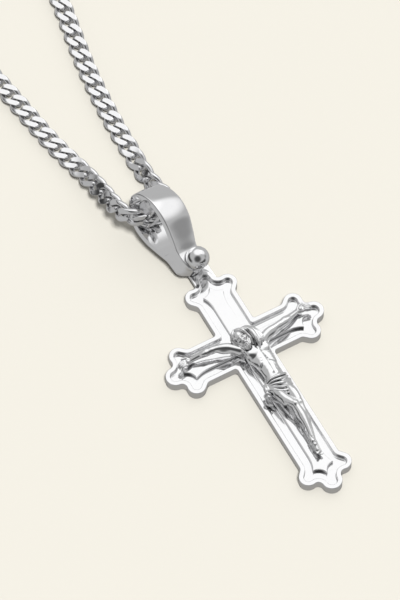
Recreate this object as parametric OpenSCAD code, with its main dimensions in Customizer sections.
// Crucifix pendant on its curb chain, lying face up.
// The frame's origin is on the back of the cross, under the crossing of its arms.
// +Y runs to the top of the cross, +X along its right arm and +Z out of its face.

/* [Cross] */
// Length of the upright from the crossing to the top bud's tip
top_arm_l = 17.6; // [15:0.1:21]
// Length of the upright from the crossing to the bottom bud's tip
bottom_arm_l = 34.7; // [31:0.1:42]
// Length of the crossbar from the crossing to a bud's tip
side_arm_l = 16.7; // [15.5:0.1:21]
// Width of the arms across the rim
arm_w = 8; // [7:0.1:9.5]
// Thickness of the back plate under the channel
floor_t = 1; // [0.9:0.05:1.5]
// Height of the rim above the channel's floor
rim_h = 1; // [0.8:0.05:1.4]
// Width of the flat rim
rim_w = 0.9; // [0.6:0.05:1.2]
// Radius of the fillets where the arms cross
crossing_r = 0.6; // [0.2:0.1:1]

/* [Budded ends] */
// Radius of the two side buds
side_bud_r = 1.8; // [1.5:0.05:2.2]
// Distance of a side bud's centre from the arm's centre line
side_bud_offset = 3.55; // [3.2:0.05:4]
// Radius of the end bud
end_bud_r = 1.95; // [1.6:0.05:2.3]
// Distance of the end bud's centre beyond the line of the side buds
end_bud_step = 2.5; // [2.2:0.05:3]
// Radius of the soft notch between two buds
notch_r = 1; // [0.7:0.05:1.4]
// Angle at which an arm flares out to its side buds
flare_angle = 42; // [35:1:50]

/* [Raised inner cross] */
// Width of the raised inner cross
panel_w = 2.8; // [2.2:0.1:3.6]
// Height of the raised inner cross above the channel's floor
panel_h = 0.85; // [0.5:0.05:1]
// Length over which its ends flare
panel_flare_l = 2.8; // [2:0.1:3.5]
// Radius of the hollow flare
panel_flare_r = 5.9; // [4:0.1:9]
// Distance of its points from the line of the side buds, to either side
panel_point = 0.8; // [0.6:0.05:1]
// Radius of the hollow between two points
panel_hollow_r = 2.1; // [1.8:0.1:3]

/* [Corpus] */
// Height of the figure from crown to toes
figure_h = 29; // [26:0.5:31]
// Distance of the figure's crown above the crossing
crown_y = 1.5; // [0:0.1:3]
// Sideways place of the figure's middle line
figure_x = 0.2; // [-0.5:0.1:0.8]
// Diameter of the nails' heads
nail_head_d = 1.3; // [1:0.1:1.5]
// Diameter of the nails' shanks
nail_d = 0.7; // [0.5:0.05:0.9]
// Depth of the nails' holes under the raised inner cross
nail_hole_l = 1.2; // [0.8:0.1:1.4]

/* [Bail] */
// Length of the bail from its pin to the far end of its loop
bail_l = 16.8; // [15.5:0.1:19]
// Greatest width of its band
bail_w = 6.4; // [5.5:0.1:7]
// Height of the bail's front above its middle plane
bail_front_h = 4.8; // [4.2:0.1:5.4]
// Depth of the bail's back below its middle plane
bail_back_h = 4.2; // [3.8:0.1:4.6]
// Thickness of the band
bail_t = 1.2; // [1:0.05:1.4]
// Diameter of the ball at its foot
ball_d = 4.5; // [4:0.1:5]
// Diameter of the pin through its foot
pin_d = 1.2; // [0.9:0.05:1.5]
// How far the bail leans over to the side as it lies
bail_lean = 25; // [22:1:27]
// How far its loop is propped up as it lies
bail_prop = 17; // [16:1:19]

/* [Chain] */
// Pitch of the links
link_pitch = 3.1; // [3:0.05:3.3]
// Width of the links
link_w = 3.85; // [3.7:0.05:4]
// Thickness of the wire
wire_d = 1.05; // [0.9:0.05:1.1]
// Distance between the middles of a link's two ends
link_reach = 4.7; // [4.6:0.05:4.8]
// Twist of a link's ends out of its plane
link_twist = 56; // [53:1:60]

/* [Clasp] */
// Length of the barrel clasp over its eyes
clasp_l = 13.5; // [12.5:0.5:16]
// Diameter of its barrel
clasp_d = 4.2; // [3.8:0.1:4.3]
// Outer diameter of the clasp's rings
ring_d = 5; // [4.9:0.05:5.3]
// Thickness of the rings' wire
ring_wire = 0.8; // [0.7:0.05:0.9]

/* [Fits] */
// Gap between pieces that seat on each other
seat_gap = 0.1; // [0.05:0.01:0.2]
// Gap round the nails and the pin in their holes
hole_gap = 0.05; // [0.03:0.01:0.1]

/* [Hidden] */

silver = [0.86, 0.86, 0.87];
cut_gap = 0.01;

rim_z = floor_t + rim_h;
panel_z = floor_t + panel_h;
bud_tip = end_bud_step + end_bud_r;

// Tongue at the top of the cross that the bail's foot takes between its jaws
tongue_w = 4.4;
tongue_t = 1;
tongue_z = rim_z - tongue_t;
tongue_end = top_arm_l + 3.8;

// Where the bail's foot sits, and how the bail lies
bail_at = [-1.4, top_arm_l + 2, 2.68];
bail_turn = 4;
pin_x = -0.9;
pin_y = bail_at[1] - 0.1;

function unit(v) = v / norm(v);
function mix(a, b, t) = a + (b - a) * t;

// Smooth curve through a table's rows, each row a list of values
function spline(a, b, c, d, t) =
    0.5 * (2 * b + (c - a) * t + (2 * a - 5 * b + 4 * c - d) * t * t + (3 * b - a - 3 * c + d) * t * t * t);
function smooth(rows, steps) = let (last = len(rows) - 1) [
    for (i = [0 : last - 1], k = [0 : steps - 1])
        spline(rows[max(0, i - 1)], rows[i], rows[i + 1], rows[min(last, i + 2)], k / steps),
    rows[last]
];

// Cross

// One half of a budded end, inset from its true outline; the line of the side buds is at x = 0
module half_end(inset) {
    half = arm_w / 2 - inset;
    side_r = side_bud_r - inset;
    end_r = end_bud_r - inset;
    // Flare from the arm's edge to the side bud, a hair inside its tangent so that the two edges cross
    out = [-sin(flare_angle), cos(flare_angle)];
    touch = [0, side_bud_offset] + (side_r - cut_gap) * out;
    corner = [touch[0] - (touch[1] - half) / tan(flare_angle), half];
    // Fillet in the corner where the flare leaves the arm
    fillet_r = notch_r + inset;
    run = fillet_r * tan(flare_angle / 2);
    fillet_at = [corner[0] - run, half + fillet_r];
    fillet_end = corner + run * [cos(flare_angle), sin(flare_angle)];
    // Notch circle, tangent to both buds
    reach = norm([end_bud_step, side_bud_offset]);
    near = side_bud_r + notch_r;
    far = end_bud_r + notch_r;
    along = (near * near - far * far + reach * reach) / (2 * reach);
    aside = sqrt(near * near - along * along);
    toward = [end_bud_step, -side_bud_offset] / reach;
    notch_at = [0, side_bud_offset] + along * toward + aside * [-toward[1], toward[0]];

    translate([0, side_bud_offset]) circle(r = side_r, $fn = 48);
    translate([end_bud_step, 0]) circle(r = end_r, $fn = 48);
    polygon([[corner[0] - run - arm_w / 4, -cut_gap], [corner[0] - run - arm_w / 4, half], corner, touch,
             [0, side_bud_offset], [end_bud_step, cut_gap], [end_bud_step, -cut_gap]]);
    difference() {
        polygon([[fillet_at[0], half - cut_gap], fillet_at, fillet_end, corner - [0, cut_gap]]);
        translate(fillet_at) circle(r = fillet_r, $fn = 48);
    }
    difference() {
        polygon([[0, side_bud_offset], notch_at, [end_bud_step, 0]]);
        translate(notch_at) circle(r = notch_r + inset, $fn = 48);
    }
}

// Places its children at the four ends, with x pointing outwards from the line of the side buds
module at_ends() {
    translate([0, top_arm_l - bud_tip]) rotate(90) children();
    translate([0, bud_tip - bottom_arm_l]) rotate(-90) children();
    translate([side_arm_l - bud_tip, 0]) children();
    translate([bud_tip - side_arm_l, 0]) rotate(180) children();
}

// The two arms as plain bars, ending short of the lines of the side buds
module bars(width, short) {
    cut = bud_tip + short;
    translate([-width / 2, cut - bottom_arm_l]) square([width, top_arm_l + bottom_arm_l - 2 * cut]);
    translate([cut - side_arm_l, -width / 2]) square([2 * (side_arm_l - cut), width]);
}

// Outline of the cross, inset from its true edge
module outline(inset) {
    half = arm_w / 2 - inset;
    bars(2 * half, 1);
    at_ends() {
        half_end(inset);
        mirror([0, 1]) half_end(inset);
    }
    for (sx = [-1, 1], sy = [-1, 1]) scale([sx, sy]) difference() {
        translate([half - cut_gap, half - cut_gap]) square(crossing_r + cut_gap);
        translate([half + crossing_r, half + crossing_r]) circle(r = crossing_r, $fn = 32);
    }
}

// Outline of the raised inner cross, whose ends flare to three points
module panel_outline() {
    half = panel_w / 2;
    side_y = half + panel_flare_r - sqrt(panel_flare_r * panel_flare_r - panel_flare_l * panel_flare_l);
    chord = [2 * panel_point, -side_y];
    rise = sqrt(panel_hollow_r * panel_hollow_r - chord * chord / 4);
    hollow_at = [-panel_point, side_y] + chord / 2 + rise * [-chord[1], chord[0]] / norm(chord);
    bars(panel_w, panel_point + panel_flare_l);
    at_ends() difference() {
        polygon([[-panel_point - panel_flare_l - cut_gap, -half], [-panel_point - panel_flare_l, -side_y], [-panel_point, -side_y], [panel_point, 0],
                 [-panel_point, side_y], [-panel_point - panel_flare_l, side_y],
                 [-panel_point - panel_flare_l - cut_gap, half]]);
        for (s = [-1, 1]) {
            translate([-panel_point - panel_flare_l, s * (half + panel_flare_r)])
                circle(r = panel_flare_r, $fn = 96);
            translate([hollow_at[0], s * hollow_at[1]]) circle(r = panel_hollow_r, $fn = 48);
        }
    }
}

// Tongue under the bail's foot
module tongue() {
    translate([0, 0, tongue_z]) linear_extrude(tongue_t) {
        translate([0, tongue_end - tongue_w / 2]) circle(d = tongue_w, $fn = 48);
        translate([-tongue_w / 2, top_arm_l - end_bud_r - 0.4])
            square([tongue_w, tongue_end - tongue_w / 2 - top_arm_l + end_bud_r + 0.4]);
    }
}

module cross() {
    color(silver) difference() {
        union() {
            difference() {
                union() {
                    linear_extrude(rim_z) outline(0);
                    tongue();
                }
                translate([0, 0, floor_t]) linear_extrude(rim_h + cut_gap) outline(rim_w);
            }
            translate([0, 0, floor_t - cut_gap]) linear_extrude(panel_h + cut_gap) panel_outline();
        }
        translate([pin_x, pin_y, 0]) cylinder(d = pin_d + 2 * hole_gap, h = rim_z + 1, $fn = 32);
        for (p = nail_places) translate([p[0], p[1], panel_z - nail_hole_l])
            cylinder(d = nail_d + 2 * hole_gap, h = nail_hole_l + 1, $fn = 24);
    }
}

// Corpus

// Tables hold shares of the figure's height: place right of the middle line, place below the crown,
// height above the raised cross, half width and half depth of the section
torso_rows = [
    [0.010, 0.105, 0.050, 0.030, 0.022],
    [0.012, 0.125, 0.052, 0.085, 0.036],
    [0.016, 0.160, 0.058, 0.104, 0.050],
    [0.024, 0.215, 0.060, 0.092, 0.054],
    [0.028, 0.265, 0.050, 0.074, 0.044],
    [0.028, 0.315, 0.046, 0.066, 0.040],
    [0.022, 0.365, 0.048, 0.076, 0.042],
    [0.012, 0.420, 0.050, 0.084, 0.044],
    [0.008, 0.470, 0.052, 0.070, 0.040]
];
head_rows = [
    [-0.052, 0.000, 0.098, 0.014, 0.014],
    [-0.050, 0.012, 0.104, 0.040, 0.040],
    [-0.046, 0.038, 0.110, 0.052, 0.054],
    [-0.040, 0.072, 0.114, 0.052, 0.056],
    [-0.030, 0.108, 0.112, 0.044, 0.046],
    [-0.018, 0.140, 0.106, 0.030, 0.034],
    [-0.012, 0.162, 0.102, 0.012, 0.016]
];
nose_rows = [
    [-0.043, 0.070, 0.160, 0.006, 0.010],
    [-0.036, 0.098, 0.158, 0.012, 0.018],
    [-0.034, 0.104, 0.150, 0.010, 0.012]
];
hair_rows = [
    [-0.052, 0.004, 0.086, 0.030, 0.030],
    [-0.050, 0.035, 0.088, 0.062, 0.050],
    [-0.040, 0.090, 0.082, 0.066, 0.052],
    [-0.024, 0.150, 0.072, 0.062, 0.040],
    [-0.014, 0.195, 0.066, 0.046, 0.026]
];
arm_rows = [
    [0.040, 0.125, 0.050, 0.028, 0.034],
    [0.090, 0.098, 0.052, 0.035, 0.038],
    [0.150, 0.070, 0.050, 0.027, 0.030],
    [0.235, 0.044, 0.042, 0.021, 0.024],
    [0.285, 0.034, 0.039, 0.025, 0.025],
    [0.370, 0.018, 0.030, 0.015, 0.017],
    [0.405, 0.012, 0.026, 0.021, 0.014],
    [0.445, 0.010, 0.024, 0.021, 0.011],
    [0.474, 0.016, 0.026, 0.011, 0.008]
];
leg_rows = [
    [0.040, 0.440, 0.050, 0.040, 0.038],
    [0.040, 0.500, 0.070, 0.040, 0.042],
    [0.030, 0.570, 0.090, 0.033, 0.038],
    [0.022, 0.640, 0.100, 0.027, 0.032],
    [0.018, 0.700, 0.084, 0.026, 0.032],
    [0.014, 0.780, 0.064, 0.022, 0.027],
    [0.010, 0.880, 0.050, 0.015, 0.019],
    [0.010, 0.925, 0.046, 0.018, 0.022],
    [0.010, 0.985, 0.034, 0.018, 0.014],
    [0.010, 1.000, 0.032, 0.010, 0.008]
];
cloth_rows = [
    [0.014, 0.372, 0.050, 0.084, 0.050],
    [0.012, 0.400, 0.054, 0.098, 0.058],
    [0.010, 0.445, 0.058, 0.104, 0.062],
    [0.014, 0.490, 0.066, 0.100, 0.062],
    [0.020, 0.520, 0.072, 0.088, 0.056]
];
knot_rows = [
    [-0.080, 0.430, 0.062, 0.018, 0.020],
    [-0.096, 0.450, 0.066, 0.032, 0.030],
    [-0.104, 0.480, 0.056, 0.026, 0.026],
    [-0.112, 0.520, 0.042, 0.032, 0.020],
    [-0.116, 0.545, 0.038, 0.012, 0.010]
];
// Knees lean to the right of the picture, feet come back to the middle
knee_lean = 0.02;
hand_share = [0.405, 0.016, 0.026];
feet_share = [0.000, 0.940, 0.064];

function place(share) = [figure_x + share[0] * figure_h, crown_y - share[1] * figure_h,
    panel_z + seat_gap + share[2] * figure_h];
nail_places = [
    place([-hand_share[0], hand_share[1], hand_share[2]]),
    place(hand_share),
    place(feet_share)
];

// Closed body lofted through elliptic sections that stand square to its path; waves flute it
module loft(rows, sides, waves = 0, depth = 0) {
    last = len(rows) - 1;
    ring = [for (i = [0 : last]) let (
            here = place(rows[i]),
            path = place(rows[min(last, i + 1)]) - place(rows[max(0, i - 1)]),
            side = unit(cross([0, 0, 1], path)),
            up = unit(cross(path, side)))
        [for (k = [0 : sides - 1]) let (a = 360 * k / sides, r = 1 + depth * cos(waves * a + 40 * i))
            here + figure_h * r * (rows[i][3] * cos(a) * side + rows[i][4] * sin(a) * up)]];
    polyhedron(
        points = [for (r = ring) each r],
        faces = [
            [for (k = [0 : sides - 1]) k],
            for (i = [0 : last - 1], k = [0 : sides - 1]) let (a = i * sides + k, b = i * sides + (k + 1) % sides)
                each [[a, a + sides, b], [b, a + sides, b + sides]],
            [for (k = [sides - 1 : -1 : 0]) last * sides + k]
        ]);
}

// A table's rows with the sideways places turned over or leaned
function mirrored(rows) = [for (r = rows) [-r[0], r[1], r[2], r[3], r[4]]];
function leaned(rows) = [for (r = rows) [r[0] + knee_lean * sin(180 * (r[1] - 0.44) / 0.56), r[1], r[2], r[3], r[4]]];
function lifted(rows, x, z) = [for (r = rows) [r[0] + x * (r[1] - 0.44), r[1], r[2] + z * (r[1] - 0.44), r[3], r[4]]];

// Nail with a domed head; its shank reaches into the cross
module nail(at) {
    translate([at[0], at[1], panel_z - nail_hole_l + seat_gap])
        cylinder(d = nail_d, h = at[2] - panel_z + nail_hole_l, $fn = 6);
    translate([at[0], at[1], at[2] - 0.1]) cylinder(d1 = nail_head_d, d2 = nail_head_d / 2, h = 0.75, $fn = 8);
}

module corpus() {
    color(silver) resize([0, 0, 0]) union() {
        loft(torso_rows, 12);
        loft(head_rows, 10);
        loft(nose_rows, 4);
        loft(hair_rows, 9);
        loft(arm_rows, 7);
        loft(mirrored(arm_rows), 7);
        loft(leaned(leg_rows), 7);
        loft(leaned(lifted(mirrored(leg_rows), 0.02, 0.045)), 7);
        loft(cloth_rows, 14, waves = 4, depth = 0.05);
        loft(knot_rows, 6);
        for (p = nail_places) nail(p);
    }
}

// Bail

// Side profile of the bail's outside, as shares of its length, front height and back depth:
// place from the pin to the far end, front, back
outer_rows = [
    [-0.137, 0.30, 0.28],
    [-0.110, 0.42, 0.38],
    [-0.040, 0.48, 0.43],
    [0.060, 0.49, 0.44],
    [0.155, 0.51, 0.48],
    [0.300, 0.73, 0.70],
    [0.475, 0.95, 0.92],
    [0.655, 1.00, 1.00],
    [0.800, 0.88, 0.88],
    [0.915, 0.62, 0.62],
    [0.980, 0.33, 0.32],
    [1.000, 0.06, 0.04]
];
// Half width of the band seen from the front, as a share of the greatest width
plan_rows = [
    [-0.137, 0.08],
    [-0.120, 0.20],
    [-0.070, 0.31],
    [0.020, 0.375],
    [0.155, 0.40],
    [0.300, 0.44],
    [0.475, 0.485],
    [0.655, 0.50],
    [0.850, 0.485],
    [1.000, 0.46]
];
profile_steps = 4;
// Where the loop's inside begins beyond the foot
eye_start = 0.20;

function profile(rows, column, height) = [for (r = smooth(rows, profile_steps)) [r[0] * bail_l, r[column] * height]];
// The points of a line moved square to it, to the right of its run
function beside(points, gap) = let (last = len(points) - 1) [for (i = [0 : last])
    let (d = unit(points[min(last, i + 1)] - points[max(0, i - 1)])) points[i] + gap * [d[1], -d[0]]];
function reversed(list) = [for (i = [len(list) - 1 : -1 : 0]) list[i]];

module bail_band() {
    front = profile(outer_rows, 1, bail_front_h);
    back = [for (p = profile(outer_rows, 2, bail_back_h)) [p[0], -p[1]]];
    loop = concat(front, reversed(back));
    inside = [for (p = beside(loop, bail_t)) if (p[0] > eye_start * bail_l) p];
    plan = profile(plan_rows, 1, bail_w);
    rotate([90, 0, 90]) intersection() {
        translate([0, 0, -bail_w / 2]) linear_extrude(bail_w) difference() {
            polygon(loop);
            polygon(inside);
        }
        rotate([90, 0, 0]) translate([0, 0, -bail_l]) linear_extrude(2 * bail_l)
            polygon(concat(plan, [for (p = reversed(plan)) [p[0], -p[1]]]));
    }
}

module bail() {
    color(silver) difference() {
        translate(bail_at) rotate([bail_prop, 0, bail_turn]) rotate([0, bail_lean, 0]) {
            bail_band();
            translate([0, -0.2, ball_d / 2 + 1.15]) sphere(d = ball_d, $fn = 48);
        }
        // Jaws for the tongue, cut level with the cross
        translate([-bail_w, 0, tongue_z - seat_gap]) cube([2 * bail_w, tongue_end + seat_gap, tongue_t + 2 * seat_gap]);
        translate([pin_x, pin_y, 0]) cylinder(d = pin_d + 2 * hole_gap, h = rim_z + 1, $fn = 32);
    }
}

module bail_pin() {
    color(silver) translate([pin_x, pin_y, 0.3]) cylinder(d = pin_d, h = rim_z + 0.6, $fn = 32);
}

// Chain

// Height of the links' middle where they lie flat
lie_z = 1.25;
// The clasp lies across the far end of the loop; the rings stand on the floor, leaning like a link
clasp_at = [232, ring_d / 2 * sin(link_twist) + ring_wire / 2 * (1 - sin(link_twist)) + 0.03];
clasp_x = -9.5;
eye_r = 2.2;
eye_hole_r = 1.5;
eye_t = 1.2;
ring_r = (ring_d - ring_wire) / 2;
ring_right_x = clasp_x + clasp_l / 2 + 0.25;
ring_left_x = clasp_x - clasp_l / 2 - 0.25;
// A ring sits in the end link where the next link would
ring_step = ring_r + link_pitch / 2 - link_reach / 2;

// Middle line of the chain from the right end of the clasp round the pendant to its left end:
// three coordinates and how far the links are turned on edge
route = [
    [ring_right_x + ring_step, clasp_at[0], clasp_at[1], 0],
    [3, 231.4, 1.6, 0],
    [9.5, 227.5, lie_z, 0],
    [15.8, 218, lie_z, 0],
    [18.4, 203, lie_z, 0],
    [18.1, 188, lie_z, 0],
    [16.2, 168, lie_z, 0],
    [11, 120, lie_z, 0],
    [5.7, 84, lie_z, 0],
    [2.9, 67.5, lie_z, 0],
    [1.7, 54, lie_z, 0],
    [1.5, 47, 1.4, 15],
    [1.3, 43, 1.65, 35],
    [1.5, 39.3, 2.05, 58],
    [2.3, 35.6, 2.4, 80],
    [1.8, 32.3, 3.3, 90],
    [-0.7, 30.5, 4.6, 90],
    [-3.2, 30.1, 5.9, 90],
    [-5.5, 30.4, 7.2, 96],
    [-7.6, 32.2, 7.6, 108],
    [-8.3, 36, 6.3, 122],
    [-8.4, 40, 4.7, 135],
    [-8.6, 43.7, 3.4, 148],
    [-9, 47.5, 2.3, 162],
    [-9.7, 51.5, 1.55, 174],
    [-10.5, 55.5, lie_z, 180],
    [-12.6, 69, lie_z, 180],
    [-20.8, 120, lie_z, 180],
    [-28.7, 168, lie_z, 180],
    [-32.3, 188, lie_z, 180],
    [-34, 203, lie_z, 180],
    [-33.4, 218, lie_z, 180],
    [-28, 227.5, lie_z, 180],
    [-22, 231.4, 1.6, 180],
    [ring_left_x - ring_step, clasp_at[0], clasp_at[1], 180]
];
route_steps = 10;
chain_steps = 1400;

// Smooth curve through the route's points, with tangents that suit their uneven spacing
function gap_after(i) = norm([for (k = [0 : 2]) route[i + 1][k] - route[i][k]]);
function run_at(i) = let (last = len(route) - 1)
    i == 0 ? (route[1] - route[0]) / gap_after(0)
    : i == last ? (route[last] - route[last - 1]) / gap_after(last - 1)
    : let (a = gap_after(i - 1), b = gap_after(i))
        ((route[i] - route[i - 1]) / a * b + (route[i + 1] - route[i]) / b * a) / (a + b);
function on_route(i, t) = let (g = gap_after(i))
    (2 * t * t * t - 3 * t * t + 1) * route[i] + (t * t * t - 2 * t * t + t) * g * run_at(i)
    + (3 * t * t - 2 * t * t * t) * route[i + 1] + (t * t * t - t * t) * g * run_at(i + 1);
fine_route = [
    for (i = [0 : len(route) - 2], k = [0 : route_steps - 1]) on_route(i, k / route_steps),
    route[len(route) - 1]
];
function xyz(row) = [row[0], row[1], row[2]];
fine_length = [for (i = 0, s = 0; i < len(fine_route);
    i = i + 1, s = i < len(fine_route) ? s + norm(xyz(fine_route[i]) - xyz(fine_route[i - 1])) : s) s];
route_l = fine_length[len(fine_length) - 1];
link_count = round(route_l / link_pitch);
true_pitch = route_l / link_count;

// Rows of the route at even steps along its length
function seek(s, low, high) = high - low <= 1 ? low
    : let (mid = floor((low + high) / 2)) fine_length[mid] <= s ? seek(s, mid, high) : seek(s, low, mid);
even_route = [for (j = [0 : chain_steps]) let (
        s = route_l * j / chain_steps,
        i = seek(s, 0, len(fine_length) - 1),
        t = (s - fine_length[i]) / (fine_length[i + 1] - fine_length[i]))
    mix(fine_route[i], fine_route[i + 1], t)];
function row_at(s) = let (
        j = min(max(s / route_l * chain_steps, 0), chain_steps - 0.001),
        i = floor(j), over = s / route_l * chain_steps - i)
    mix(even_route[i], even_route[i + 1], over);

// A point beside the route: s along it, y across the links' flat and z out of it
function beside_route(s, y, z) = let (
        here = row_at(s),
        path = unit(xyz(row_at(s + 0.4)) - xyz(row_at(s - 0.4))),
        across = unit(cross([0, 0, 1], path)),
        up = cross(path, across),
        turn = here[3])
    xyz(here) + (y * cos(turn) - z * sin(turn)) * across + (y * sin(turn) + z * cos(turn)) * up;

// Rounds a cosine towards a squarer oval
function fuller(c) = sign(c) * pow(abs(c), 2 / 2.2);
link_segments = 10;
wire_sides = 5;
// Middle of a link's wire: a full oval whose ends are twisted out of its plane
function wire_at(a) = let (
        x = link_reach / 2 * fuller(cos(a)),
        y = (link_w - wire_d) / 2 * fuller(sin(a)),
        turn = -link_twist * x / (link_reach / 2))
    [x, y * cos(turn), y * sin(turn)];
function link_points(s) = [for (i = [0 : link_segments - 1]) let (
        a = 360 * (i + 0.5) / link_segments,
        here = wire_at(a),
        path = unit(wire_at(a + 4) - wire_at(a - 4)),
        out = unit(here - path * (here * path)),
        up = cross(path, out))
    for (k = [0 : wire_sides - 1]) let (
        b = 360 * (k + 0.5) / wire_sides,
        p = here + wire_d / 2 * (cos(b) * out + sin(b) * up))
    beside_route(s + p[0], p[1], p[2])];
link_faces = [for (i = [0 : link_segments - 1], k = [0 : wire_sides - 1]) let (
        a = i * wire_sides + k,
        b = i * wire_sides + (k + 1) % wire_sides,
        c = ((i + 1) % link_segments) * wire_sides + (k + 1) % wire_sides,
        d = ((i + 1) % link_segments) * wire_sides + k)
    each [[a, c, b], [a, d, c]]];
link_size = link_segments * wire_sides;

// A run of loose links, as one body of many closed shells
module links(first, last) {
    polyhedron(
        points = [for (i = [first : last]) each link_points((i + 0.5) * true_pitch)],
        faces = [for (i = [0 : last - first]) for (f = link_faces) f + i * [link_size, link_size, link_size]]);
}

half_count = floor(link_count / 2);
module chain_right() { color(silver) links(0, half_count - 1); }
module chain_left() { color(silver) links(half_count, link_count - 1); }

// Clasp

module ring(x, tilt) {
    color(silver) translate([x, clasp_at[0], clasp_at[1]]) rotate([tilt, 0, 0])
        rotate_extrude($fn = 48) translate([ring_r, 0]) circle(d = ring_wire, $fn = 16);
}
module clasp_ring_right() { ring(ring_right_x, -link_twist); }
module clasp_ring_left() { ring(ring_left_x, link_twist); }

// Barrel clasp with a flat eye at each end
module clasp() {
    barrel_l = clasp_l - 4 * eye_r;
    color(silver) translate([clasp_x, clasp_at[0], clasp_at[1]]) {
        rotate([0, 90, 0]) cylinder(d = clasp_d, h = barrel_l, center = true, $fn = 48);
        for (s = [-1, 1]) difference() {
            union() {
                translate([s * (clasp_l / 2 - eye_r), 0, -eye_t / 2]) cylinder(r = eye_r, h = eye_t, $fn = 48);
                translate([s * (clasp_l / 2 - eye_r * 1.6), 0, 0]) cube([eye_r * 1.2, 2 * eye_r, eye_t], center = true);
            }
            translate([s * (clasp_l / 2 - eye_r), 0, -eye_t]) cylinder(r = eye_hole_r, h = 2 * eye_t, $fn = 48);
        }
    }
}

cross();
corpus();
bail();
bail_pin();
chain_right();
chain_left();
clasp();
clasp_ring_right();
clasp_ring_left();
